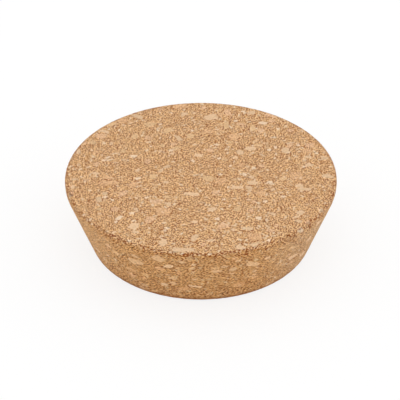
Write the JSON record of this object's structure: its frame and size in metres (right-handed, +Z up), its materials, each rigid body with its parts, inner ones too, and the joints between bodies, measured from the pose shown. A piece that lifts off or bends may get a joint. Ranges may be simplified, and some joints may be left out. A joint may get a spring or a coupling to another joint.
{
  "type": "cork stopper",
  "caption": "Wide, shallow tapered stopper of pressed cork granules with a short straight band under its flat top, used to close a jar or canister.",
  "frame": {"origin": "centre of the foot, the narrow end's flat face, on the surface that the stopper stands on", "axes": "+Z up along the turning axis, from the narrow foot to the wide top face"},
  "size_m": [0.093, 0.093, 0.025],
  "materials": {
    "pressed_cork": "matt, ground pressed cork: fine light tan granules with paler flakes and small dark pores"
  },
  "bodies": {
    "root": {"cork_stopper": "pressed_cork"}
  },
  "joints": []
}
